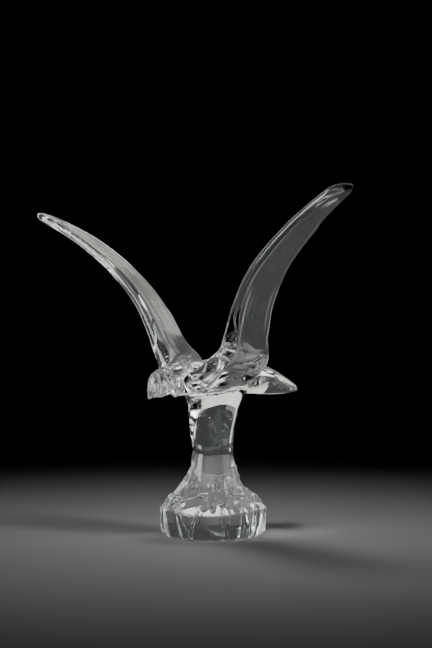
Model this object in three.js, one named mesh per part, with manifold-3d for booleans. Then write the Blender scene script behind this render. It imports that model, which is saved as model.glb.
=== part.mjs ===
// An eagle with raised wings on a rough foot, drawn and tooled from one mass of clear crystal.
// Millimetres, +Z up, the origin under the middle of the foot. The eagle faces -Y and its left wing is on +X.
import * as THREE from "three";
import { mergeVertices } from "three/addons/utils/BufferGeometryUtils.js";
import Module from "manifold-3d";

// Foot: a tooled block of glass that stands on its flat underside.
const footRadius = 58;
const footUnderRadius = 50;
const footHeight = 29.5;
const footBevel = 8;
const footSegments = 64;
const rimWave = 2.5;
// Where the upright arrises stand round the foot, in turns, each with its share of the radius.
const arrises = [
  [0, 0.98], [1 / 64, 1], [4 / 64, 1.01], [8 / 64, 0.97], [12 / 64, 1.01], [18 / 64, 0.96], [22 / 64, 1],
  [28 / 64, 1.02], [33 / 64, 0.96], [37 / 64, 1], [41 / 64, 0.97], [45 / 64, 1.01], [49 / 64, 0.98],
  [52 / 64, 1.01], [54 / 64, 0.97], [58 / 64, 1], [60 / 64, 0.975], [63 / 64, 1.01],
];
// How far the rim rounds over, and how far up the arrises fade.
const rimRound = 5;
const arrisFade = 8;
// Buttresses: folds of glass that run from the top of the foot up the stem.
const buttressCount = 7;
const buttressDepth = 5;
const buttressReach = 17;

// Stem: round at the waist, and drawn out along the body where it meets it.
const stemHeight = 149;
const waistRadius = 21.5;
const waistHeight = footHeight + 0.535 * (stemHeight - footHeight);
const shoulderRadius = 29;
const shoulderHeight = footHeight + 0.255 * (stemHeight - footHeight);
const stemTopHalfWidth = 24;
const stemTopHalfLength = 34;
const stemTopShift = 2;
const stemSink = 12;
const seamDepth = 2.4;
const seamPitch = 9;
const seamFade = 8;

// Body and tail: one form from the breast to the round tail tip.
const breastLength = 48;
const backLength = 62;
const bodyHalfWidth = 27;
const bodyDepth = 39;
const tailLength = 68;
const tailHalfWidth = 26;
const tailDrop = 15;

// Head: turned to the eagle's right, with a deep hooked beak, a fold round the neck and ridges on the cheeks.
const headLength = 50;
const headHalfWidth = 22;
const headDepth = 36;
const headTurn = THREE.MathUtils.degToRad(26);
const neckLength = 30;
const neckFold = 3.5;
const neckFoldReach = 5;
const cheekHollow = 3;
const cheekReach = 6;
const featherPitch = 7;
const featherDepth = 1.6;

// Wings: long blades with a thick leading edge, raised and swept a little forward.
const wingReach = 229;
const wingRise = 195;
const wingSweep = 48;
const rootChord = 76;
const midChord = 50;
const tipChord = 30;
const rootThickness = 30;
const midThickness = 15;
const tipThickness = 9;
const fluteDepth = 0.9;
// Each wing's own cut, in millimetres and as shares of the wing's sizes.
const leftWing = {
  setBack: 1,
  rootBack: 2,
  riseShare: 1,
  bow: 0.045,
  chordShare: 1.06,
  leadFlare: 20,
  trailCut: 0.08,
  stepAt: 0.74,
};
const rightWing = {
  setBack: -7,
  rootBack: -1,
  riseShare: 0.97,
  bow: 0,
  chordShare: 0.88,
  leadFlare: 0,
  trailCut: 0.28,
  stepAt: 0.32,
};

// How deep the body sits on the stem, and its middle height.
const bodySink = 2;
const bodyMiddle = stemHeight + bodyDepth / 2 - bodySink;
// Edges shorter than this are closed up where two forms are joined.
const joinTolerance = 0.02;
const wasm = await Module();
wasm.setup();

const { clamp, lerp, smoothstep } = THREE.MathUtils;
const fullTurn = 2 * Math.PI;
const bump = (x, centre, reach) => Math.exp(-(((x - centre) / reach) ** 2));

// Shape numbers at stations along a length, joined by a smooth curve: each row is [where, a, b, c ...].
function along(stations) {
  const columns = stations[0].length - 1;
  const last = stations.length - 1;
  const slope = (i, c) => {
    const before = stations[Math.max(i - 1, 0)];
    const after = stations[Math.min(i + 1, last)];
    return (after[c] - before[c]) / (after[0] - before[0]);
  };
  return (where) => {
    const beyond = stations.findIndex((row) => row[0] > where);
    const k = beyond < 0 ? last - 1 : Math.max(beyond - 1, 0);
    const span = stations[k + 1][0] - stations[k][0];
    const s = clamp((where - stations[k][0]) / span, 0, 1);
    return Array.from({ length: columns }, (_, i) => {
      const [from, to] = [stations[k][i + 1], stations[k + 1][i + 1]];
      const bend = (1 - s) * slope(k, i + 1) * span - s * slope(k + 1, i + 1) * span;
      return lerp(from, to, smoothstep(s, 0, 1)) + s * (1 - s) * bend;
    });
  };
}

// A closed skin: turn goes once round the section and share runs from one end of the form to the other.
function skin(around, rings, place) {
  const geometry = new THREE.SphereGeometry(1, around, rings);
  const { position, uv } = geometry.attributes;
  for (let i = 0; i < position.count; i++) {
    const row = Math.floor(i / (around + 1));
    const column = i % (around + 1);
    const point = place(((column % around) / around) * fullTurn, row / rings);
    position.setXYZ(i, point.x, point.y, point.z);
  }
  return geometry;
}

// A section that is round at roundness 2 and a rhombus at 1.
function sectionPoint(turn, roundness) {
  const shape = (value) => Math.sign(value) * Math.abs(value) ** (2 / roundness);
  return [shape(Math.cos(turn)), shape(Math.sin(turn))];
}

function solid(geometry) {
  geometry.deleteAttribute("normal");
  geometry.deleteAttribute("uv");
  const merged = mergeVertices(geometry, 1e-4);
  return new wasm.Manifold(
    new wasm.Mesh({
      numProp: 3,
      vertProperties: merged.attributes.position.array,
      triVerts: new Uint32Array(merged.index.array),
      tolerance: joinTolerance,
    }),
  );
}

// The foot's plan as a share of its radius: straight facets from arris to arris.
function facetShare(turn) {
  const share = turn / fullTurn;
  const next = arrises.findIndex(([at]) => at > share);
  const [toAt, toShare] = next < 0 ? [1 + arrises[0][0], arrises[0][1]] : arrises[next];
  const [fromAt, fromShare] = next < 0 ? arrises[arrises.length - 1] : arrises[next - 1];
  const corner = (at, size) => new THREE.Vector2(size, 0).rotateAround(new THREE.Vector2(), at * fullTurn);
  const from = corner(fromAt, fromShare);
  const to = corner(toAt, toShare);
  const ray = corner(share, 1);
  return from.cross(to) / (ray.cross(to) - ray.cross(from));
}

function footAndStem() {
  const flare = new THREE.SplineCurve([
    new THREE.Vector2(footRadius, footHeight),
    new THREE.Vector2(footRadius * 0.9, footHeight + rimRound),
    new THREE.Vector2(lerp(footRadius, shoulderRadius, 0.62), lerp(footHeight, shoulderHeight, 0.5)),
    new THREE.Vector2(shoulderRadius, shoulderHeight),
    new THREE.Vector2(waistRadius * 1.06, lerp(shoulderHeight, waistHeight, 0.6)),
    new THREE.Vector2(waistRadius, waistHeight),
    new THREE.Vector2(waistRadius * 1.03, lerp(waistHeight, stemHeight, 0.5)),
    new THREE.Vector2(stemTopHalfWidth, stemHeight),
  ]);
  const outline = [
    new THREE.Vector2(0, 0),
    new THREE.Vector2(footUnderRadius, 0),
    new THREE.Vector2(lerp(footUnderRadius, footRadius, 0.55), footBevel * 0.4),
    new THREE.Vector2(lerp(footUnderRadius, footRadius, 0.8), footBevel),
    new THREE.Vector2(lerp(footUnderRadius, footRadius, 0.95), lerp(footBevel, footHeight, 0.5)),
    ...flare.getPoints(17),
    new THREE.Vector2(stemTopHalfWidth * 0.96, stemHeight + stemSink),
    new THREE.Vector2(0, stemHeight + stemSink),
  ];
  const geometry = new THREE.LatheGeometry(outline, footSegments);
  geometry.rotateX(Math.PI / 2);
  const { position } = geometry.attributes;
  for (let i = 0; i < position.count; i++) {
    const [x, y, z] = [position.getX(i), position.getY(i), position.getZ(i)];
    const radius = Math.hypot(x, y);
    if (radius < 1e-6) continue;
    const step = Math.round((Math.atan2(y, x) / fullTurn) * footSegments);
    const turn = (((step + footSegments) % footSegments) / footSegments) * fullTurn;
    const faceted = 1 - smoothstep(z, footHeight + rimRound * 0.4, shoulderHeight + arrisFade);
    const folds = bump(z, lerp(footHeight, shoulderHeight, 0.5), buttressReach) * buttressDepth * 0.6;
    const seamShare = smoothstep(z, waistHeight - seamFade / 2, waistHeight + seamFade);
    const seam = bump(turn, 1.25 * Math.PI, 0.2) * seamShare;
    const knots = seamDepth * (0.45 + 0.4 * Math.sin((z / seamPitch) * fullTurn)) * (z < stemHeight ? 1 : 0);
    const r =
      radius * lerp(1, facetShare(turn), faceted) +
      folds * Math.sin(buttressCount * turn + 0.8 + 0.7 * Math.sin(2 * turn)) +
      knots * seam;
    const drawnShare = smoothstep(z, waistHeight, stemHeight + stemSink);
    const drawnOut = lerp(1, stemTopHalfLength / stemTopHalfWidth, drawnShare);
    const onRim = radius > footRadius * 0.75 && z > footHeight * 0.6;
    const rise = onRim ? rimWave * Math.sin(3 * turn + 1) : 0;
    const shift = stemTopShift * smoothstep(z, waistHeight, stemHeight);
    position.setXYZ(i, Math.cos(turn) * r, Math.sin(turn) * r * drawnOut + shift, z + rise);
  }
  return solid(geometry);
}

function bodyAndTail() {
  const tailEnd = backLength + tailLength;
  const half = bodyDepth / 2;
  const tailAt = (share) => backLength + share * tailLength;
  // Where, the height of the widest line, half width, rise above it, fall below it, roundness.
  const form = along([
    [-breastLength, bodyMiddle, 0, 0, 0, 2],
    [-breastLength * 0.88, bodyMiddle, bodyHalfWidth * 0.45, half * 0.5, half * 0.5, 2],
    [-breastLength * 0.6, bodyMiddle, bodyHalfWidth * 0.8, half * 0.88, half * 0.82, 2],
    [-breastLength * 0.25, bodyMiddle, bodyHalfWidth, half * 1.12, half * 0.98, 2],
    [backLength * 0.2, bodyMiddle + tailDrop * 0.07, bodyHalfWidth, half * 1.1, half * 1.05, 2],
    [backLength * 0.7, bodyMiddle + tailDrop * 0.3, bodyHalfWidth * 0.92, half * 0.62, half * 1.08, 1.7],
    [tailAt(0), bodyMiddle + tailDrop * 0.16, tailHalfWidth * 0.95, half * 0.66, half * 0.96, 1.4],
    [tailAt(0.22), bodyMiddle - tailDrop * 0.12, tailHalfWidth, half * 0.88, half * 0.8, 1.3],
    [tailAt(0.42), bodyMiddle - tailDrop * 0.45, tailHalfWidth * 0.92, half * 0.9, half * 0.58, 1.3],
    [tailAt(0.6), bodyMiddle - tailDrop * 0.72, tailHalfWidth * 0.76, half * 0.84, half * 0.38, 1.35],
    [tailAt(0.78), bodyMiddle - tailDrop * 0.9, tailHalfWidth * 0.56, half * 0.66, half * 0.22, 1.5],
    [tailAt(0.92), bodyMiddle - tailDrop * 0.94, tailHalfWidth * 0.36, half * 0.42, half * 0.14, 1.8],
    [tailAt(0.98), bodyMiddle - tailDrop * 0.94, tailHalfWidth * 0.2, half * 0.24, half * 0.09, 2],
    [tailEnd, bodyMiddle - tailDrop * 0.94, 0, 0, 0, 2],
  ]);
  return solid(
    skin(28, 26, (turn, share) => {
      const even = lerp(share, (1 - Math.cos(Math.PI * share)) / 2, 0.45);
      const y = lerp(tailEnd, -breastLength, even);
      const [middle, width, rise, fall, roundness] = form(y);
      const [up, across] = sectionPoint(turn, roundness);
      return new THREE.Vector3(width * across, y, middle + up * (up > 0 ? rise : fall));
    }),
  );
}

function head() {
  const half = headDepth / 2;
  const out = (share) => share * headLength;
  // How far out from the neck, half width, the top and the bottom measured from the body's middle.
  const form = along([
    [out(-0.5), 0, 0, 0],
    [out(-0.44), headHalfWidth * 0.6, half * 0.7, -half * 0.6],
    [out(-0.3), headHalfWidth, half, -half * 0.8],
    [out(0.1), headHalfWidth, half * 1.02, -half * 0.75],
    [out(0.35), headHalfWidth * 0.97, half * 0.98, -half * 0.66],
    [out(0.52), headHalfWidth * 0.9, half * 0.9, -half * 0.72],
    [out(0.7), headHalfWidth * 0.74, half * 0.76, -half * 0.9],
    [out(0.86), headHalfWidth * 0.5, half * 0.54, -half * 0.93],
    [out(0.94), headHalfWidth * 0.34, half * 0.24, -half * 0.98],
    [out(0.985), headHalfWidth * 0.18, -half * 0.3, -half],
    [out(1), 0, -half * 0.7, -half * 0.7],
  ]);
  const ahead = new THREE.Vector3(-Math.sin(headTurn), -Math.cos(headTurn), 0);
  const across = new THREE.Vector3(Math.cos(headTurn), -Math.sin(headTurn), 0);
  const neck = new THREE.Vector3(0, -neckLength, bodyMiddle);
  return solid(
    skin(26, 36, (turn, share) => {
      const reach = lerp(out(-0.5), out(1), share);
      const [width, top, bottom] = form(reach);
      const up = Math.cos(turn);
      const side = Math.sin(turn);
      const cheek = side * side * smoothstep(width, 0, headHalfWidth * 0.5);
      const onCheek = smoothstep(reach, out(0.3), out(0.45));
      const ridge = featherDepth * Math.cos((reach / featherPitch) * fullTurn) * onCheek;
      const raisedFold = neckFold * bump(reach, out(-0.22), neckFoldReach);
      const fold = raisedFold - cheekHollow * bump(reach, out(0.13), cheekReach);
      const spread = width + (ridge + fold) * cheek;
      return neck
        .clone()
        .addScaledVector(ahead, reach)
        .addScaledVector(across, spread * side)
        .add(new THREE.Vector3(0, 0, lerp(bottom, top, (up + 1) / 2)));
    }),
  );
}

// Half the blade's thickness from its leading edge, 0, to its trailing edge, 1: a rolled rim and a thin web.
function bladeShare(x) {
  const round = Math.sqrt(Math.max(0, 1 - (2 * x - 1) ** 2));
  return round * (0.5 + 0.5 * bump(x, 0.2, 0.3));
}

// One wing. side is 1 for the left wing and -1 for the right one, and the shares give that wing its own cut.
function wing(side, cut) {
  const point = (reach, sweep, rise) =>
    new THREE.Vector3(
      side * wingReach * reach,
      cut.setBack + cut.rootBack * (1 - smoothstep(reach, 0.12, 0.4)) - wingSweep * sweep,
      bodyMiddle + wingRise * cut.riseShare * (rise - cut.bow * Math.sin(Math.PI * rise)),
    );
  const spine = new THREE.CatmullRomCurve3([
    point(0.02, -0.1, -0.01),
    point(0.14, -0.04, 0.05),
    point(0.205, 0.06, 0.165),
    point(0.255, 0.16, 0.3),
    point(0.325, 0.3, 0.455),
    point(0.465, 0.52, 0.64),
    point(0.69, 0.74, 0.82),
    point(0.86, 0.88, 0.92),
    point(1, 1, 0.99),
  ]);
  // Share of the length, chord, thickness.
  const form = along([
    [0, rootChord, rootThickness],
    [0.1, rootChord * 0.98, rootThickness * 0.98],
    [0.2, rootChord * 0.82, rootThickness * 0.82],
    [0.35, lerp(rootChord, midChord, 0.85), lerp(rootThickness, midThickness, 0.75)],
    [0.5, midChord, midThickness],
    [0.75, lerp(midChord, tipChord, 0.5), lerp(midThickness, tipThickness, 0.6)],
    [0.93, tipChord * 1.05, tipThickness * 1.1],
    [1, tipChord * 0.9, tipThickness],
  ]);
  const backward = new THREE.Vector3(0, 1, 0);
  return solid(
    skin(24, 32, (turn, step) => {
      const share = lerp(step, (1 - Math.cos(Math.PI * step)) / 2, 0.5);
      const tangent = spine.getTangentAt(share);
      const back = backward.clone().addScaledVector(tangent, -backward.dot(tangent)).normalize();
      const face = new THREE.Vector3().crossVectors(tangent, back);
      const [chord, thickness] = form(share);
      const size = Math.sqrt(clamp(share / 0.03, 0, 1) * (1 - clamp((share - 0.94) / 0.06, 0, 1) ** 2));
      const halfChord = (chord * cut.chordShare) / 2;
      const lead = halfChord + cut.leadFlare * (1 - smoothstep(share, 0.12, 0.22));
      const stepDown = 1 - 0.12 * smoothstep(share, cut.stepAt, cut.stepAt + 0.03);
      const narrowed = cut.trailCut * smoothstep(share, 0.12, 0.24) * (1 - smoothstep(share, 0.5, 0.75));
      const trail = halfChord * stepDown * (1 - narrowed);
      const x = (1 - Math.cos(turn)) / 2;
      const outer = smoothstep(share, 0.12, 0.3);
      const flutes = fluteDepth * (bump(x, 0.42, 0.06) + 0.7 * bump(x, 0.68, 0.06)) * outer;
      const depth = Math.max(0, (thickness / 2) * bladeShare(x) - flutes) * size;
      return spine
        .getPointAt(share)
        .addScaledVector(back, (x * (lead + trail) - lead) * size)
        .addScaledVector(face, Math.sin(turn) < 0 ? -depth : depth);
    }),
  );
}

const whole = [
  bodyAndTail(),
  head(),
  wing(1, leftWing),
  wing(-1, rightWing),
].reduce((joined, next) => joined.add(next), footAndStem());

const made = whole.getMesh();
const geometry = new THREE.BufferGeometry();
const corners = new Float32Array(made.vertProperties);
geometry.setAttribute("position", new THREE.BufferAttribute(corners, made.numProp));
geometry.setIndex(new THREE.BufferAttribute(new Uint32Array(made.triVerts), 1));
geometry.computeVertexNormals();

const crystal = new THREE.MeshStandardMaterial({
  color: 0xe9eef0,
  roughness: 0.03,
  metalness: 0,
  transparent: true,
  opacity: 0.35,
});
const eagle = new THREE.Mesh(geometry, crystal);
eagle.name = "glass_eagle";

const statue = new THREE.Group();
statue.add(eagle);
export default statue;
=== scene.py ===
import math
import bpy
import numpy as np
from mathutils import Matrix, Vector
from mathutils.bvhtree import BVHTree


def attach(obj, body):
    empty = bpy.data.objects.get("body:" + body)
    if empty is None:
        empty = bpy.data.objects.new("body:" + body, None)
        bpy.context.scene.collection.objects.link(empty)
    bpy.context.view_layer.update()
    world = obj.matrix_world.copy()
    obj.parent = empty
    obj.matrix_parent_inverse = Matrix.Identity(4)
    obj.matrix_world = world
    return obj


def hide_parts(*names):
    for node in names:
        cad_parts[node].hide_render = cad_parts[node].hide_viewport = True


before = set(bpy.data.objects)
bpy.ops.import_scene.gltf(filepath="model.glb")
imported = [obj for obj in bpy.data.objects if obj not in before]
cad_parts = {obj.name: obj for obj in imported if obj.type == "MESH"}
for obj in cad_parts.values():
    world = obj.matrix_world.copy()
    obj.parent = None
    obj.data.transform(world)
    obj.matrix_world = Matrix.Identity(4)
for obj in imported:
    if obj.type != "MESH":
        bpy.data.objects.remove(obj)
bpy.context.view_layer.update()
print("frame loaded:", list(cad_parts))

mm = 0.001
fullTurn = 2 * math.pi

# The photograph's view: the camera stands level with the lower wings, at the eagle's front left.
photoView = {
    "azimuth": 45,
    "distance": 1.6,
    "height": 0.23,
    "aimHeight": 0.2268,
    "sideways": 0.0032,
    "lens": 82.8,
}


def makeCamera(view):
    turn = math.radians(view["azimuth"])
    toCamera = Vector((math.sin(turn), -math.cos(turn), 0))
    toRight = Vector((math.cos(turn), math.sin(turn), 0))
    data = bpy.data.cameras.new("photoCamera")
    data.lens = view["lens"]
    data.sensor_width = 36
    camera = bpy.data.objects.new("photoCamera", data)
    bpy.context.collection.objects.link(camera)
    sideways = toRight * view["sideways"]
    camera.location = toCamera * view["distance"] + sideways + Vector((0, 0, view["height"]))
    aim = sideways + Vector((0, 0, view["aimHeight"]))
    camera.rotation_euler = (aim - camera.location).to_track_quat("-Z", "Y").to_euler()
    bpy.context.scene.camera = camera


makeCamera(photoView)
print("camera set")


def bump(x, centre, reach):
    return np.exp(-(((x - centre) / reach) ** 2))


def ease(x, start, end):
    s = np.clip((x - start) / (end - start), 0, 1)
    return s * s * (3 - 2 * s)


def mix(a, b, s):
    return a + (b - a) * s


# The larger of two heights, run together smoothly where they meet.
def meltedMax(a, b, reach):
    return (a + b + np.sqrt((a - b) ** 2 + reach**2)) / 2


# Shape numbers at stations along a length, joined by a smooth curve: each row is (where, a, b, ...).
def along(stations, where):
    table = np.array(stations, dtype=float)
    at = table[:, 0]
    values = table[:, 1:]
    slopes = np.empty_like(values)
    slopes[1:-1] = (values[2:] - values[:-2]) / (at[2:] - at[:-2])[:, None]
    slopes[0] = (values[1] - values[0]) / (at[1] - at[0])
    slopes[-1] = (values[-1] - values[-2]) / (at[-1] - at[-2])
    k = np.clip(np.searchsorted(at, where, side="right") - 1, 0, len(at) - 2)
    span = (at[k + 1] - at[k])[..., None]
    s = np.clip((where - at[k]) / (at[k + 1] - at[k]), 0, 1)[..., None]
    bend = (1 - s) * slopes[k] * span - s * slopes[k + 1] * span
    return mix(values[k], values[k + 1], s * s * (3 - 2 * s)) + s * (1 - s) * bend


# A smooth curve through points, read at shares of its length: gives the places and the directions there.
def smoothCurve(points, shares):
    p = np.array(points, dtype=float)
    p = np.vstack([2 * p[0] - p[1], p, 2 * p[-1] - p[-2]])
    fine = []
    for i in range(1, len(p) - 2):
        d0, d1, d2 = [max(np.linalg.norm(p[j + 1] - p[j]) ** 0.5, 1e-6) for j in (i - 1, i, i + 1)]
        step = (p[i + 1] - p[i]) / d1
        t1 = ((p[i] - p[i - 1]) / d0 - (p[i + 1] - p[i - 1]) / (d0 + d1) + step) * d1
        t2 = (step - (p[i + 2] - p[i]) / (d1 + d2) + (p[i + 2] - p[i + 1]) / d2) * d1
        s = np.linspace(0, 1, 40, endpoint=i == len(p) - 3)[:, None]
        fine.append(
            (2 * s**3 - 3 * s**2 + 1) * p[i] + (s**3 - 2 * s**2 + s) * t1
            + (3 * s**2 - 2 * s**3) * p[i + 1] + (s**3 - s**2) * t2
        )
    fine = np.vstack(fine)
    run = np.concatenate([[0], np.cumsum(np.linalg.norm(np.diff(fine, axis=0), axis=1))])
    places = np.stack([np.interp(shares * run[-1], run, fine[:, c]) for c in range(3)], axis=1)
    directions = np.gradient(places, run[-1] * shares, axis=0)
    return places, directions / np.linalg.norm(directions, axis=1)[:, None]


# Lifts a form's rings out along their own facing, by a lift for each point.
def raised(rings, lift):
    lengthwise = np.gradient(rings, axis=0)
    crosswise = (np.roll(rings, -1, axis=1) - np.roll(rings, 1, axis=1)) / 2
    facing = np.cross(crosswise, lengthwise)
    facing /= np.linalg.norm(facing, axis=2)[..., None] + 1e-9
    outward = np.sign(np.sum(facing * (rings - rings.mean(axis=1, keepdims=True))))
    return rings + facing * (outward * lift)[..., None]


# Raised or sunken lines drawn on a form, each with its rise, its width and the places it runs through.
def drawnLines(a, b, lines, sharpness=1.6):
    total = 0 * a + 0 * b
    for rise, width, route in lines:
        if len(route) > 2:
            route = smoothCurve([(p, q, 0) for p, q in route], np.linspace(0, 1, 5 * len(route)))[0][:, :2]
        gap = np.full(total.shape, np.inf)
        for (a0, b0), (a1, b1) in zip(route[:-1], route[1:]):
            run, climb = a1 - a0, b1 - b0
            s = np.clip(((a - a0) * run + (b - b0) * climb) / (run**2 + climb**2 + 1e-9), 0, 1)
            gap = np.minimum(gap, np.hypot(a - a0 - s * run, b - b0 - s * climb))
        total = total + rise * np.clip(1 - gap / (2 * width), 0, 1) ** sharpness
    return total


# A closed skin from rings of points, rings x around x 3, with both ends brought to a point.
def skin(rings):
    count, around, _ = rings.shape
    verts = np.vstack([rings.reshape(-1, 3), rings[0].mean(0), rings[-1].mean(0)])
    ids = np.arange(count * around).reshape(count, around)
    nextId = np.roll(ids, -1, axis=1)
    quads = np.stack([ids[:-1], nextId[:-1], nextId[1:], ids[1:]], axis=-1).reshape(-1, 4)
    a, b, c, d = (verts[quads[:, k]] for k in range(4))
    insideOut = np.sum(np.cross(b - a, c - a) * a) + np.sum(np.cross(c - a, d - a) * a) < 0
    first = [(count * around, nextId[0, i], ids[0, i]) for i in range(around)]
    last = [(count * around + 1, ids[-1, i], nextId[-1, i]) for i in range(around)]
    faces = [tuple(int(i) for i in side) for side in list(quads) + first + last]
    return verts, [side[::-1] for side in faces] if insideOut else faces


# Foot, in millimetres. The arrises are places round the foot, in turns, with their share of the radius.
foot = {
    "radius": 58,
    "underRadius": 50,
    "height": 29.5,
    "bevel": 8,
    # How far the rim rounds over and waves, and how far up the arrises fade.
    "rimRound": 5,
    "rimWave": 2.5,
    "arrisFade": 8,
    "around": 300,
    "arrises": [
        (0, 0.98), (1 / 64, 1), (4 / 64, 1.01), (8 / 64, 0.97), (12 / 64, 1.01), (18 / 64, 0.96),
        (22 / 64, 1), (28 / 64, 1.02), (33 / 64, 0.96), (37 / 64, 1), (41 / 64, 0.97), (45 / 64, 1.01),
        (49 / 64, 0.98), (52 / 64, 1.01), (54 / 64, 0.97), (58 / 64, 1), (60 / 64, 0.975),
        (63 / 64, 1.01),
    ],
    "shownSide": 315,
    # Sheared lines down the side and folds drawn over the top: rise, width, then places, each in degrees
    # from the shown side and in height.
    "shears": [
        (2.1, 1.5, [(-64, 34), (-60, 4)]), (1.9, 1.3, [(-45, 34), (-37, 3)]),
        (1.9, 1.1, [(-42, 33), (-26, 5)]), (2.1, 1.3, [(-17, 33), (-25, 3)]),
        (1.4, 1.1, [(-13, 32), (-18, 14)]), (2.1, 1.4, [(11, 34), (14, 2)]),
        (1.4, 1.1, [(20, 33), (16, 3)]), (2.1, 1.3, [(33, 34), (30, 4)]),
        (1.9, 1.5, [(37, 33), (45, 3)]), (2.2, 1.6, [(52, 33), (47, 2)]),
        (1.9, 1.3, [(66, 34), (57, 4)]), (1.9, 1.4, [(84, 33), (78, 4)]),
        (1.1, 1.0, [(-10, 16), (2, 8), (12, 6)]), (1.8, 1.7, [(-92, 33), (-84, 4)]),
        (1.8, 1.7, [(-121, 33), (-125, 4)]), (1.8, 1.7, [(-150, 33), (-146, 4)]),
        (1.8, 1.7, [(110, 33), (104, 4)]), (1.8, 1.7, [(137, 33), (140, 4)]),
        (1.8, 1.7, [(168, 33), (165, 4)]),
    ],
    "folds": [
        (4.6, 4, [(-84, 38), (-80, 50), (-70, 62)]), (4.6, 3, [(-66, 36), (-55, 47), (-40, 60)]),
        (4.4, 2.6, [(-46, 35), (-30, 41), (-14, 46), (-6, 43), (-12, 38)]),
        (-3, 4, [(-32, 48), (-14, 55)]), (3.4, 2.2, [(0, 36), (3, 50), (2, 58)]),
        (-3.6, 4, [(12, 44), (16, 56)]), (3, 1.8, [(24, 46), (27, 62)]),
        (4.2, 2.4, [(20, 38), (34, 45), (52, 43)]), (3.8, 2.2, [(28, 36), (46, 40), (70, 38)]),
        (4.4, 3, [(56, 46), (74, 40), (92, 36)]), (-2.6, 3, [(40, 50), (66, 49)]),
        (3.2, 2.4, [(80, 50), (96, 44), (112, 36)]), (4, 4, [(-112, 38), (-104, 54)]),
        (4, 4, [(-145, 37), (-134, 52)]), (4, 4, [(140, 38), (130, 53)]),
        (4, 4, [(176, 37), (170, 50)]),
    ],
}
# Stem, in millimetres, with its seam of pinched knots, its marks and its faint rings.
stem = {
    "height": 149,
    "waistRadius": 21.5,
    "waistShare": 0.535,
    "shoulderRadius": 29,
    "shoulderShare": 0.255,
    "topHalfWidth": 24,
    "topHalfLength": 34,
    "topShift": 2,
    "sink": 12,
    "marks": [
        (2.6, 4, [(-88, 132), (-90, 127)]), (2.2, 3.2, [(-82, 121), (-90, 118)]),
        (2.8, 3.6, [(-90, 113), (-84, 108)]), (2, 3, [(-84, 101), (-92, 97)]),
        (1.6, 2.6, [(-76, 86), (-84, 82)]), (2.2, 3.4, [(-70, 72), (-80, 66)]),
        (1.2, 2.4, [(-50, 71), (-46, 70)]), (1.8, 2.6, [(84, 74), (92, 72)]),
        (1.8, 2.8, [(90, 65), (98, 63)]), (-2.3, 3.6, [(-6, 125), (-4, 122)]),
        (0.5, 1.4, [(40, 128), (42, 128)]), (0.5, 1.4, [(50, 127), (52, 127)]),
        (0.5, 1.3, [(22, 112), (40, 113)]), (0.5, 1.2, [(30, 119), (44, 115)]),
        (-1, 2.2, [(16, 110), (18, 109)]), (1.7, 2, [(1, 120), (6, 112), (11, 101)]),
        (-2, 1.8, [(12, 107), (17, 98), (12, 96)]),
    ],
    "rings": [
        (0.35, 1, [(-60, 118), (-10, 119)]), (0.35, 1, [(10, 110), (80, 111)]),
        (0.3, 1, [(-50, 101), (60, 102)]), (0.6, 1.2, [(-70, 62), (-30, 58), (20, 58)]),
        (-0.8, 5, [(-60, 90), (40, 88)]), (0.6, 1.4, [(-30, 54), (-12, 53)]),
        (1, 3.2, [(-60, 96), (-15, 91), (30, 98), (75, 92)]),
    ],
    "lineSpread": 0.38,
}


# The foot's plan as a share of its radius: straight facets from arris to arris.
def facetShare(share):
    corners = sorted(foot["arrises"])
    corners = [(corners[-1][0] - 1, corners[-1][1])] + corners + [(corners[0][0] + 1, corners[0][1])]
    at = np.array([c[0] for c in corners])
    size = np.array([c[1] for c in corners])
    k = np.clip(np.searchsorted(at, share, side="right") - 1, 0, len(at) - 2)
    a, b, c = at[k] * fullTurn, at[k + 1] * fullTurn, share * fullTurn
    return size[k] * size[k + 1] * np.sin(b - a) / (size[k + 1] * np.sin(b - c) + size[k] * np.sin(c - a))


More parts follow.
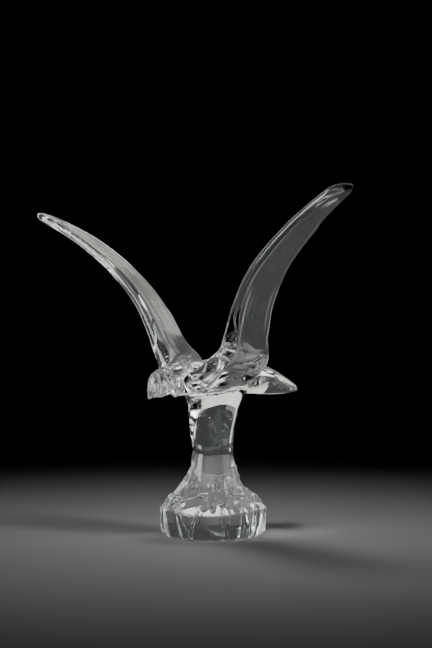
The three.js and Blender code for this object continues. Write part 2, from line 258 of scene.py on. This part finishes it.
# Foot and stem: one turned form, faceted below, drawn out along the body at its top.
def footAndStem():
    waist = mix(foot["height"], stem["height"], stem["waistShare"])
    shoulder = mix(foot["height"], stem["height"], stem["shoulderShare"])
    radius, top = foot["radius"], stem["height"]
    flare = [
        (radius, foot["height"]),
        (radius * 0.9, foot["height"] + foot["rimRound"]),
        (mix(radius, stem["shoulderRadius"], 0.62), mix(foot["height"], shoulder, 0.5)),
        (stem["shoulderRadius"], shoulder),
        (stem["waistRadius"] * 1.06, mix(shoulder, waist, 0.6)),
        (stem["waistRadius"], waist),
        (stem["waistRadius"] * 1.03, mix(waist, top, 0.5)),
        (stem["topHalfWidth"], top),
    ]
    lower = [
        (foot["underRadius"] * 0.97, 0),
        (foot["underRadius"], 0.4),
        (mix(foot["underRadius"], radius, 0.55), foot["bevel"] * 0.45),
        (mix(foot["underRadius"], radius, 0.8), foot["bevel"]),
        (mix(foot["underRadius"], radius, 0.95), mix(foot["bevel"], foot["height"], 0.5)),
    ]
    drawn, _ = smoothCurve([(r, 0, z) for r, z in flare], np.linspace(0, 1, 80))
    under, _ = smoothCurve([(r, 0, z) for r, z in lower], np.linspace(0, 1, 16))
    low, high = (under[-1, 0], under[-1, 2]), (radius, foot["height"])
    side = np.array([(mix(low[0], high[0], s), mix(low[1], high[1], s)) for s in (0.2, 0.4, 0.6, 0.8)])
    inner = np.array([(foot["underRadius"] * s, 0) for s in (0.3, 0.7)])
    profile = np.vstack([inner, under[:, [0, 2]], side, drawn[:, [0, 2]]])
    sunkTop = top + stem["sink"]
    profile = np.vstack([profile, (stem["topHalfWidth"] * 0.96, sunkTop), (1, sunkTop)])
    share = np.arange(foot["around"]) / foot["around"]
    turn = share * fullTurn
    r0, z = profile[:, :1], profile[:, 1:]
    faceted = 1 - ease(z, foot["height"] + foot["rimRound"] * 0.4, shoulder + foot["arrisFade"])
    r = r0 * mix(1, facetShare(share), faceted)
    drawnOut = mix(1, stem["topHalfLength"] / stem["topHalfWidth"], ease(z, waist, sunkTop))
    onRim = (r0 > radius * 0.75) & (z > foot["height"] * 0.6)
    rise = np.where(onRim, foot["rimWave"] * np.sin(3 * turn + 1), 0)
    rise = rise * ease(z, foot["height"] * 0.6, foot["height"])
    x = np.cos(turn) * r
    y = np.sin(turn) * r * drawnOut + stem["topShift"] * ease(z, waist, top)
    rings = np.stack([x, y, z + rise + 0 * x], axis=-1)
    fromShown = (np.degrees(turn) - foot["shownSide"] + 180) % 360 - 180
    across = math.radians(1) * foot["radius"] * fromShown
    height = z + 0 * across

    def spread(lines, size):
        return [(r, w, [(math.radians(1) * size * a, b) for a, b in route]) for r, w, route in lines]

    lift = drawnLines(across, height, spread(foot["shears"], radius)) * ease(height, 0.5, 4)
    lift = lift + drawnLines(across, height, spread(foot["folds"], radius), 1.3)
    narrow = across * stem["lineSpread"]
    lift = lift + drawnLines(narrow, height, spread(stem["marks"], radius * stem["lineSpread"]), 1.8)
    lift = lift + drawnLines(narrow, height, spread(stem["rings"], radius * stem["lineSpread"]), 2)
    return skin(raised(rings, lift * (r0 > foot["underRadius"] * 0.2) * ease(height, 0.2, 2)))


# The carving on the side away from the photograph is plainer, by this share.
hiddenShare = 0.35

# Body and tail: one form from the breast to the round tail tip, in millimetres.
body = {
    "breastLength": 48,
    "backLength": 62,
    "halfWidth": 27,
    "depth": 39,
    "sink": 2,
    "tailLength": 68,
    "tailHalfWidth": 26,
    "tailDrop": 15,
    "around": 144,
    "ringCount": 130,
    # Creases and tool marks on the flanks: rise, width, then places along the body and heights.
    "creases": [
        (1.5, 2.2, [(-22, 188), (-16, 177), (0, 171), (20, 174), (42, 182)]),
        (-1.1, 3, [(-16, 184), (-6, 178), (10, 176)]), (1.4, 1.8, [(48, 184), (45, 172), (38, 160)]),
        (-1.2, 2.4, [(54, 182), (51, 172), (47, 163)]), (0.8, 2, [(60, 172), (78, 168)]),
        (-0.7, 3, [(64, 160), (88, 156)]),
    ],
    "tailNips": {"first": 76, "last": 124, "count": 9, "rise": -1.1, "width": 1.6, "length": 5},
}
bodyMiddle = stem["height"] + body["depth"] / 2 - body["sink"]


def bodyAndTail():
    half, width = body["depth"] / 2, body["halfWidth"]
    breast, back = body["breastLength"], body["backLength"]
    tail, drop, tailWidth = body["tailLength"], body["tailDrop"], body["tailHalfWidth"]
    # Where, the height of the widest line, half width, rise above it, fall below it, roundness.
    form = [
        (-breast, bodyMiddle, 0, 0, 0, 2),
        (-breast * 0.88, bodyMiddle, width * 0.45, half * 0.5, half * 0.5, 2),
        (-breast * 0.6, bodyMiddle, width * 0.8, half * 0.88, half * 0.82, 2),
        (-breast * 0.25, bodyMiddle, width, half * 1.12, half * 0.98, 2),
        (back * 0.2, bodyMiddle + 1, width, half * 1.1, half * 1.05, 2),
        (back * 0.7, bodyMiddle + drop * 0.3, width * 0.92, half * 0.62, half * 1.08, 1.7),
        (back, bodyMiddle + drop * 0.16, tailWidth * 0.95, half * 0.66, half * 0.96, 1.4),
        (back + tail * 0.22, bodyMiddle - drop * 0.12, tailWidth, half * 0.88, half * 0.8, 1.3),
        (back + tail * 0.42, bodyMiddle - drop * 0.45, tailWidth * 0.92, half * 0.9, half * 0.58, 1.3),
        (back + tail * 0.6, bodyMiddle - drop * 0.72, tailWidth * 0.76, half * 0.84, half * 0.38, 1.35),
        (back + tail * 0.78, bodyMiddle - drop * 0.9, tailWidth * 0.56, half * 0.66, half * 0.22, 1.5),
        (back + tail * 0.92, bodyMiddle - drop * 0.94, tailWidth * 0.36, half * 0.42, half * 0.14, 1.8),
        (back + tail * 0.98, bodyMiddle - drop * 0.94, tailWidth * 0.2, half * 0.24, half * 0.09, 2),
        (back + tail, bodyMiddle - drop * 0.94, 0, 0, 0, 2),
    ]
    even = np.linspace(0.0004, 0.9996, body["ringCount"])
    crowded = (1 - np.cos(np.linspace(0.03, math.pi - 0.03, body["ringCount"]))) / 2
    share = mix(crowded, even, 0.55)
    y = mix(-breast, back + tail, share)
    middle, width, rise, fall, roundness = along(form, y).T[:, :, None]
    turn = np.linspace(0, fullTurn, body["around"], endpoint=False)[None, :]
    up = np.sign(np.cos(turn)) * np.abs(np.cos(turn)) ** (2 / roundness)
    across = -np.sign(np.sin(turn)) * np.abs(np.sin(turn)) ** (2 / roundness)
    z = middle + up * np.where(up > 0, rise, fall)
    rings = np.stack([width * across, y[:, None] + 0 * z, z], axis=-1)
    onFlank = ease(np.abs(across), 0.2, 0.6) * np.where(across > 0, 1, hiddenShare)
    lift = drawnLines(rings[..., 1], rings[..., 2], body["creases"]) * onFlank
    nips = body["tailNips"]
    for place in np.linspace(nips["first"], nips["last"], nips["count"]):
        onRidge = np.abs(rings[..., 0]) < nips["length"]
        lift = lift + nips["rise"] * bump(rings[..., 1], place, nips["width"]) * onRidge * (up > 0.2)
    return skin(raised(rings, lift * np.minimum(1, width / 6)))


# Head: turned to the eagle's right, with a hooked beak, a curled fold round the cheek and pinched ridges.
head = {
    "length": 50,
    "halfWidth": 22,
    "depth": 36,
    "turn": math.radians(26),
    "neckLength": 30,
    "around": 156,
    "ringCount": 130,
    # The curl, the hollow inside it and the pinched ridges: rise, width, then reach and height.
    "pinches": [
        (5.6, 5.2, [(3, 184), (-6, 182), (-9, 175), (-4, 166), (5, 160), (15, 157), (21, 157)]),
        (-4.6, 6, [(24, 168), (14, 168), (5, 172)]), (3.4, 1.7, [(30, 168), (20, 173), (8, 178)]),
        (2.8, 1.5, [(21, 169), (20, 163), (24, 158)]), (3, 2.4, [(9, 177), (7, 172), (4, 169)]),
        (2.2, 1.3, [(14, 172), (12, 166), (14, 163)]), (4.4, 2.2, [(31, 174), (28, 166), (26, 156)]),
        (-3.6, 1.8, [(36, 176), (34, 166), (34, 152)]), (3.6, 1.7, [(40, 173), (39, 164), (37, 153)]),
        (-3, 1.4, [(43, 173), (42, 162), (42, 150)]), (3.6, 1.6, [(45, 176), (48, 166), (52, 150)]),
        (3.2, 1.6, [(49, 172), (46, 162), (45, 151)]), (2.2, 1.4, [(36, 168), (31, 160)]),
        (1.8, 1.3, [(47, 158), (40, 152)]), (2, 1.6, [(50, 178), (38, 179), (30, 176)]),
        (-3.4, 1.3, [(46, 174), (47, 163), (48, 151)]), (-2.2, 1.1, [(37, 172), (38, 162), (39, 153)]),
    ],
}


def headForm():
    half, wide, long = head["depth"] / 2, head["halfWidth"], head["length"]
    # How far out from the neck, half width, the top and the bottom measured from the body's middle.
    form = [
        (-long * 0.5, 0, 0, 0),
        (-long * 0.44, wide * 0.6, half * 0.7, -half * 0.6),
        (-long * 0.3, wide, half, -half * 0.8),
        (long * 0.1, wide, half * 1.02, -half * 0.75),
        (long * 0.35, wide * 0.97, half * 0.98, -half * 0.66),
        (long * 0.52, wide * 0.9, half * 0.9, -half * 0.72),
        (long * 0.7, wide * 0.74, half * 0.76, -half * 0.9),
        (long * 0.86, wide * 0.5, half * 0.54, -half * 0.93),
        (long * 0.94, wide * 0.34, half * 0.24, -half * 0.98),
        (long * 0.985, wide * 0.18, -half * 0.3, -half),
        (long, 0, -half * 0.7, -half * 0.7),
    ]
    reach = mix(-long * 0.498, long * 0.999, np.linspace(0, 1, head["ringCount"]))
    width, top, bottom = along(form, reach).T[:, :, None]
    turn = -np.linspace(0, fullTurn, head["around"], endpoint=False)[None, :]
    side = np.sin(turn)
    r = reach[:, None] + 0 * side
    spread = width * np.sign(side) * np.abs(side) ** 0.8
    sinT, cosT = math.sin(head["turn"]), math.cos(head["turn"])
    x = -sinT * r + cosT * spread
    y = -head["neckLength"] - cosT * r - sinT * spread
    z = bodyMiddle + mix(bottom, top, (np.cos(turn) + 1) / 2)
    onCheek = ease(np.abs(side), 0.1, 0.5) * ease(width, 0, wide * 0.4)
    lift = drawnLines(r, z, head["pinches"], 1.4) * onCheek * np.where(side > 0, 1, hiddenShare)
    lift = np.where(lift > 0, lift * (1 - 0.8 * ease(r, long * 0.8, long * 0.95)), lift)
    return skin(raised(np.stack([x, y, z], axis=-1), lift))


# Wings: long blades with a rolled leading edge and a thin web behind it, in millimetres.
wing = {
    "reach": 229,
    "rise": 195,
    "sweep": 48,
    "rootChord": 76,
    "midChord": 50,
    "tipChord": 30,
    "rootThickness": 30,
    "midThickness": 15,
    "tipThickness": 9,
    "rollShare": 0.42,
    "rollLength": 0.8,
    "edgeThickness": 3,
    # How far the trailing edge is drawn in at the root, as a share.
    "rootTuck": 0.34,
    # Where the round tip starts, its length and how far its rings run, as shares of the wing's length.
    "tipStart": 0.94,
    "tipLength": 0.06,
    "tipRun": 0.0599,
    "around": 150,
    "rootRings": 40,
    "bladeRings": 66,
    "tipRings": 26,
    # Long shallow lines pressed down the web: depth, then width and place as shares of the chord.
    "flutes": [
        (0.4, 0.03, 0.4), (0.25, 0.05, 0.52), (0.3, 0.03, 0.61), (0.2, 0.06, 0.74), (0.35, 0.03, 0.88),
    ],
    # The wavy ridge across the root, where the thin web begins.
    "rootRidge": {"at": 0.135, "rise": 1.1, "width": 0.009},
}


# One wing: side is 1 for the eagle's left wing and -1 for its right, and cut is that wing's own dictionary.
def wingForm(side, cut):
    # Reach, sweep and rise of the wing's middle line, as shares of the wing's own.
    stations = [
        (0.02, -0.1, -0.01), (0.14, -0.04, 0.05), (0.205, 0.06, 0.165), (0.255, 0.16, 0.3),
        (0.325, 0.3, 0.455), (0.465, 0.52, 0.64), (0.69, 0.74, 0.82), (0.86, 0.88, 0.92), (1, 1, 0.99),
    ]
    points = []
    for reach, sweep, rise in stations:
        rootShift = cut["rootBack"] * (1 - float(ease(reach, 0.12, 0.4)))
        points.append((
            side * wing["reach"] * reach,
            cut["setBack"] + rootShift - wing["sweep"] * sweep,
            bodyMiddle + wing["rise"] * cut["riseShare"] * (rise - cut["bow"] * math.sin(math.pi * rise)),
        ))
    rootChord, midChord, tipChord = wing["rootChord"], wing["midChord"], wing["tipChord"]
    rootThick, midThick, tipThick = wing["rootThickness"], wing["midThickness"], wing["tipThickness"]
    # Share of the length, chord, thickness.
    form = [
        (0, rootChord, rootThick),
        (0.1, rootChord * 0.98, rootThick * 0.98),
        (0.2, rootChord * 0.82, rootThick * 0.82),
        (0.35, mix(rootChord, midChord, 0.85), mix(rootThick, midThick, 0.75)),
        (0.5, midChord, midThick),
        (0.75, mix(midChord, tipChord, 0.5), mix(midThick, tipThick, 0.6)),
        (0.93, tipChord * 1.05, tipThick * 1.1),
        (1, tipChord * 0.9, tipThick),
    ]
    rootRings = np.linspace(0, 0.24, wing["rootRings"], endpoint=False)
    bladeRings = np.linspace(0.24, wing["tipStart"], wing["bladeRings"], endpoint=False)
    tipRings = wing["tipStart"] + wing["tipRun"] * np.sin(np.linspace(0.02, math.pi / 2, wing["tipRings"]))
    share = np.concatenate([rootRings, bladeRings, tipRings])
    centre, ahead = smoothCurve(points, share)
    back = np.array([0, 1.0, 0]) - ahead * ahead[:, 1:2]
    back /= np.linalg.norm(back, axis=1)[:, None]
    face = np.cross(ahead, back)
    chord, thickness = along(form, share).T[:, :, None]
    s = share[:, None]
    atTip = np.clip((s - wing["tipStart"]) / wing["tipLength"], 0, 1)
    size = np.sqrt(np.clip(s / 0.03, 0.02, 1) * np.clip(1 - atTip**2, 0, 1))
    turn = np.linspace(0, fullTurn, wing["around"], endpoint=False)[None, :]
    x = (1 - np.cos(turn)) / 2
    chord = chord * cut["chordShare"]
    flare = cut["leadFlare"] * (1 - ease(s, 0.12, 0.22))
    lead = chord / 2 + flare
    trail = chord / 2 * (1 - 0.12 * ease(s, cut["stepAt"], cut["stepAt"] + 0.03))
    trail = trail * (1 - wing["rootTuck"] * (1 - ease(s, 0.03, 0.15)))
    trail = trail * (1 - cut["trailCut"] * ease(s, 0.12, 0.24) * (1 - ease(s, 0.5, 0.75)))
    chord = lead + trail
    outer = ease(s, 0.08, 0.34) * (1 - ease(s, 0.84, 0.97))
    roll = thickness * wing["rollShare"]
    long = roll * wing["rollLength"]
    c = x * chord
    onRoll = roll * np.sqrt(np.clip(1 - ((c - long) / long) ** 2, 0, 1))
    edge = wing["edgeThickness"] / 2
    web = mix(edge, thickness * cut["webShare"], (1 - x) ** 0.7)
    web = web * np.sqrt(np.clip(1 - (1 - np.clip((chord - c) / edge, 0, 1)) ** 2, 0, 1))
    for depth, width, place in wing["flutes"]:
        web = web - depth * cut["fluted"] * bump(x, place, width) * outer
    blade = meltedMax(onRoll, web * ease(c, 0, long), 0.8 * ease(c, 0, long) * (1 - x))
    full = thickness / 2 * np.sqrt(np.clip(1 - (2 * x - 1) ** 2, 0, 1)) * (0.6 + 0.4 * bump(x, 0.25, 0.4))
    ridge = wing["rootRidge"]
    wavy = ridge["at"] + 0.006 * np.sin(9 * x) + 0.004 * np.sin(23 * x)
    across = ridge["rise"] * bump(s, wavy, ridge["width"]) * ease(x, 0.15, 0.4) * (1 - ease(x, 0.85, 0.98))
    depth = (mix(np.maximum(full, blade), blade, outer) + across) * size
    depth = np.where(np.sin(turn) < 0, -depth, depth)
    alongChord = back[:, None] * ((x * chord - lead) * size)[..., None]
    return skin(centre[:, None] + alongChord + face[:, None] * depth[..., None])


# Each wing's own cut: the near one is the eagle's left wing, the far one its right.
nearWing = {
    "setBack": 1,
    "rootBack": 2,
    "riseShare": 1,
    "bow": 0.045,
    "chordShare": 1.06,
    "leadFlare": 20,
    "trailCut": 0.08,
    "stepAt": 0.74,
    "fluted": 2,
    "webShare": 0.36,
}
farWing = {
    "setBack": -7,
    "rootBack": -1,
    "riseShare": 0.97,
    "bow": 0,
    "chordShare": 0.88,
    "leadFlare": 0,
    "trailCut": 0.28,
    "stepAt": 0.32,
    "fluted": 1.5,
    "webShare": 0.24,
}
forms = {
    "body": bodyAndTail(),
    "stem": footAndStem(),
    "head": headForm(),
    "nearWing": wingForm(1, nearWing),
    "farWing": wingForm(-1, farWing),
}
print("forms drawn:", len(forms))

# How the forms run together: the fillet where each meets what carries it, and the softening there. The
# crossing is how far the fillet runs on under the carrier's surface, as a share of its reach.
melt = {
    "fillets": {
        "stem": {"onto": "body", "reach": 16},
        "head": {"onto": "body", "reach": 5},
        "nearWing": {"onto": "body", "reach": 9, "inside": 18, "side": 1},
        "farWing": {"onto": "body", "reach": 9, "inside": 18, "side": -1},
    },
    "crossing": 0.12,
    "softenReach": 10,
    "rounds": 18,
    "pull": 0.6,
}


# A search tree over a form's surface.
def treeOf(form):
    return BVHTree.FromPolygons([Vector(p) for p in form[0]], form[1])


# The way that each point of a form faces.
def facings(form):
    mesh = bpy.data.meshes.new("facings")
    mesh.from_pydata(form[0].tolist(), [], form[1])
    found = np.empty(len(form[0]) * 3)
    mesh.vertices.foreach_get("normal", found)
    bpy.data.meshes.remove(mesh)
    return found.reshape(-1, 3)


# Spreads a form outward where it comes close to its carrier, in a quarter round, so the two run
# together. A wing's inner side, towards the other wing, gets a wider round.
def filleted(form, carrier, plan):
    points, faces = form
    tree = treeOf(carrier)
    spread = points.copy()
    facing = facings(form)
    widest = plan.get("inside", plan["reach"])
    inward = ease(-plan.get("side", 0) * facing[:, 0] - np.abs(facing[:, 1]), 0, 0.6)
    reaches = mix(plan["reach"], widest, inward)
    for i, p in enumerate(points):
        reach = reaches[i]
        spot, outward, _, gap = tree.find_nearest(Vector(p), reach * 1.01)
        if spot is None:
            continue
        outward = np.array(outward)
        above = gap if np.dot(p - np.array(spot), outward) > 0 else -gap
        near = 1 - min(1, (max(above, 0) / reach + melt["crossing"]) / (1 + melt["crossing"]))
        moved = p + facing[i] * reach * (1 - math.sqrt(1 - near**2))
        spot, outward, _, gap = tree.find_nearest(Vector(moved))
        outward = np.array(outward)
        now = gap if np.dot(moved - np.array(spot), outward) > 0 else -gap
        spread[i] = moved + outward * (above - now)
    return spread, faces


def meshFrom(name, form):
    mesh = bpy.data.meshes.new(name)
    mesh.from_pydata((form[0] * mm).tolist(), [], form[1])
    return bpy.data.objects.new(name, mesh)


# Joins the forms into one closed skin.
def weld(pieces):
    objects = [meshFrom(name, form) for name, form in pieces.items()]
    for piece in objects:
        bpy.context.collection.objects.link(piece)
    for other in objects[1:]:
        union = objects[0].modifiers.new("weld", "BOOLEAN")
        union.operation = "UNION"
        union.solver = "MANIFOLD"
        union.object = other
    depsgraph = bpy.context.evaluated_depsgraph_get()
    mesh = bpy.data.meshes.new_from_object(objects[0].evaluated_get(depsgraph))
    for piece in objects:
        bpy.data.objects.remove(piece)
    mesh.name = "crystalEagle"
    mesh.materials.clear()
    return mesh


def vertexArray(mesh):
    flat = np.empty(len(mesh.vertices) * 3)
    mesh.vertices.foreach_get("co", flat)
    return flat.reshape(-1, 3)


def edgeArray(mesh):
    flat = np.empty(len(mesh.edges) * 2, dtype=np.int64)
    mesh.edges.foreach_get("vertices", flat)
    return flat.reshape(-1, 2)


# Draws each point towards its neighbours' middle, by its own amount.
def soften(points, edges, rounds, amount):
    a, b = edges.T
    count = np.bincount(a, minlength=len(points)) + np.bincount(b, minlength=len(points))
    for step in range(rounds):
        total = np.zeros_like(points)
        for c in range(3):
            total[:, c] += np.bincount(a, points[b, c], len(points))
            total[:, c] += np.bincount(b, points[a, c], len(points))
        middle = total / count[:, None]
        points = points + (middle - points) * melt["pull"] * amount[:, None]
    return points


# How near each point is to a second form, from 1 on the join to 0 at the softening's reach.
def joinAmount(points, pieces):
    trees = [treeOf(form) for form in pieces.values()]
    reach = melt["softenReach"]
    amount = np.zeros(len(points))
    for i, p in enumerate(points / mm):
        found = [tree.find_nearest(Vector(p), reach) for tree in trees]
        gaps = sorted(reach if spot is None else gap for spot, _, _, gap in found)
        amount[i] = 1 - gaps[1] / reach
    return ease(amount, 0, 0.7)


for name, plan in melt["fillets"].items():
    forms[name] = filleted(forms[name], forms[plan["onto"]], plan)
mesh = weld(forms)
print("welded into one skin:", len(mesh.vertices), "points")
amount = joinAmount(vertexArray(mesh), forms)
points = soften(vertexArray(mesh), edgeArray(mesh), melt["rounds"], amount)
points[:, 2] = np.maximum(points[:, 2], 0)
mesh.vertices.foreach_set("co", points.ravel())
mesh.update()
mesh.calc_loop_triangles()
for polygon in mesh.polygons:
    polygon.use_smooth = True
eagle = bpy.data.objects.new("crystalEagle", mesh)
bpy.context.collection.objects.link(eagle)
print("softened:", len(mesh.polygons), "faces", len(mesh.loop_triangles), "triangles")


# Clear crystal: nearly colourless, with the faint ripple that the tools leave.
crystalFinish = {
    "tint": (0.975, 0.985, 0.99, 1),
    "roughness": 0.0,
    "ior": 1.53,
    "rippleSize": 60,
    "rippleStrength": 0.1,
    "rippleHeight": 0.0006,
}


def clearCrystal():
    material = bpy.data.materials.new("clearCrystal")
    material.use_nodes = True
    nodes, links = material.node_tree.nodes, material.node_tree.links
    shader = nodes["Principled BSDF"]
    shader.inputs["Base Color"].default_value = crystalFinish["tint"]
    shader.inputs["Roughness"].default_value = crystalFinish["roughness"]
    shader.inputs["IOR"].default_value = crystalFinish["ior"]
    shader.inputs["Transmission Weight"].default_value = 1
    place = nodes.new("ShaderNodeTexCoord")
    ripple = nodes.new("ShaderNodeTexNoise")
    ripple.inputs["Scale"].default_value = crystalFinish["rippleSize"]
    ripple.inputs["Detail"].default_value = 2
    lift = nodes.new("ShaderNodeBump")
    lift.inputs["Strength"].default_value = crystalFinish["rippleStrength"]
    lift.inputs["Distance"].default_value = crystalFinish["rippleHeight"]
    links.new(place.outputs["Object"], ripple.inputs["Vector"])
    links.new(ripple.outputs["Fac"], lift.inputs["Height"])
    links.new(lift.outputs["Normal"], shader.inputs["Normal"])
    return material


eagle.data.materials.append(clearCrystal())
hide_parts("glass_eagle")
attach(eagle, "root")

# Pale matte floor, with the glass standing a hair above it.
floorPlan = {"size": 8, "tone": (0.62, 0.61, 0.6, 1), "roughness": 0.7, "gap": 0.0003}


def paleFloor():
    half = floorPlan["size"] / 2
    mesh = bpy.data.meshes.new("paleFloor")
    corners = [(-half, -half), (half, -half), (half, half), (-half, half)]
    mesh.from_pydata([(x, y, -floorPlan["gap"]) for x, y in corners], [], [(0, 1, 2, 3)])
    floor = bpy.data.objects.new("paleFloor", mesh)
    bpy.context.collection.objects.link(floor)
    material = bpy.data.materials.new("paleFloor")
    material.use_nodes = True
    shader = material.node_tree.nodes["Principled BSDF"]
    shader.inputs["Roughness"].default_value = floorPlan["roughness"]
    shader.inputs["Base Color"].default_value = floorPlan["tone"]
    shader.inputs["Specular IOR Level"].default_value = 0
    mesh.materials.append(material)


paleFloor()

# Soft studio light. Places are metres to the right, away from the camera and up, and brightness is what
# the glass sees.
warm = (1, 0.95, 0.88)
cool = (0.93, 0.97, 1)
studio = {
    "panels": [
        {
            "name": "leftPanel",
            "from": (-1.17, -0.27, 0.5),
            "size": (0.6, 1.1),
            "brightness": 8,
            "tint": cool,
        },
        {
            "name": "rightPanel",
            "from": (1.16, -0.3, 0.6),
            "size": (0.9, 1.2),
            "brightness": 1.6,
            "tint": cool,
        },
        {
            "name": "rightBackPanel",
            "from": (1.0, 0.5, 0.7),
            "size": (0.35, 1.1),
            "brightness": 2.2,
            "tint": warm,
        },
        {
            "name": "leftBackPanel",
            "from": (-0.95, 0.85, 0.3),
            "size": (0.25, 0.9),
            "brightness": 0.9,
            "tint": cool,
        },
        {
            "name": "backPanel",
            "from": (0.0, 1.25, 1.15),
            "size": (0.8, 0.4),
            "brightness": 1.5,
            "tint": warm,
        },
        {
            "name": "topPanel",
            "from": (0.0, 0.32, 1.35),
            "size": (0.9, 0.75),
            "brightness": 1.6,
            "tint": warm,
        },
        {
            "name": "frontPanel",
            "from": (-0.5, -2.0, 0.9),
            "size": (2.0, 1.5),
            "brightness": 0.8,
            "tint": cool,
        },
    ],
    # Small glows behind the glass, seen only through it.
    "glows": [
        {
            "name": "backGlow",
            "from": (0.0, 0.55, 0.42),
            "to": (0, 0, 0.42),
            "size": (1.6, 1.0),
            "brightness": 0.055,
            "tint": cool,
        },
        {
            "name": "wingGlow",
            "from": (-0.13, 0.22, 0.225),
            "size": (0.17, 0.13),
            "brightness": 0.22,
            "tint": warm,
        },
        {
            "name": "neckGlow",
            "from": (-0.008, 0.09, 0.172),
            "to": (-0.008, 0, 0.082),
            "size": (0.12, 0.034),
            "brightness": 0.8,
            "spread": 120,
            "tint": warm,
        },
    ],
    "pool": {"height": 1.5, "size": 0.4, "power": 0.45, "spread": 50},
    "surroundTone": 0.4,
}


# One rectangular lamp that the camera doesn't see.
def panelAt(name, place, size, power, spread, aim):
    data = bpy.data.lights.new(name, "AREA")
    data.shape = "RECTANGLE"
    data.size, data.size_y = size
    data.energy = power
    data.spread = math.radians(spread)
    lamp = bpy.data.objects.new(name, data)
    bpy.context.collection.objects.link(lamp)
    lamp.location = place
    lamp.rotation_euler = (Vector(aim) - lamp.location).to_track_quat("-Z", "Y").to_euler()
    lamp.visible_camera = False
    return lamp


# A place given as metres to the right, away from the camera and up.
def seenFrom(place):
    view = math.radians(photoView["azimuth"])
    right, away, up = place
    return (
        right * math.cos(view) - away * math.sin(view),
        right * math.sin(view) + away * math.cos(view),
        up,
    )


# A lamp for the glass alone: it doesn't light the floor.
def glassLight(plan):
    power = plan["brightness"] * math.pi * plan["size"][0] * plan["size"][1]
    aim = seenFrom(plan.get("to", (0, 0, 0.2)))
    lamp = panelAt(plan["name"], seenFrom(plan["from"]), plan["size"], power, plan.get("spread", 180), aim)
    lamp.data.color = plan["tint"]
    lamp.visible_diffuse = False
    return lamp


# A lamp for the floor alone, over the statue.
def floorLight():
    pool = studio["pool"]
    place, size = (0, 0, pool["height"]), (pool["size"], pool["size"])
    lamp = panelAt("floorPool", place, size, pool["power"], pool["spread"], (0, 0, 0))
    lamp.visible_glossy = False
    lamp.visible_transmission = False


# A dim surround that only shows as reflections on the glass.
def dimSurround():
    world = bpy.data.worlds.new("dimSurround")
    bpy.context.scene.world = world
    world.use_nodes = True
    tone = studio["surroundTone"]
    world.node_tree.nodes["Background"].inputs["Color"].default_value = (tone, tone, tone, 1)
    world.cycles_visibility.camera = False
    world.cycles_visibility.diffuse = False
    world.cycles_visibility.transmission = False


for plan in studio["panels"]:
    glassLight(plan)
for plan in studio["glows"]:
    glassLight(plan).visible_glossy = False
floorLight()
dimSurround()
print("light set")
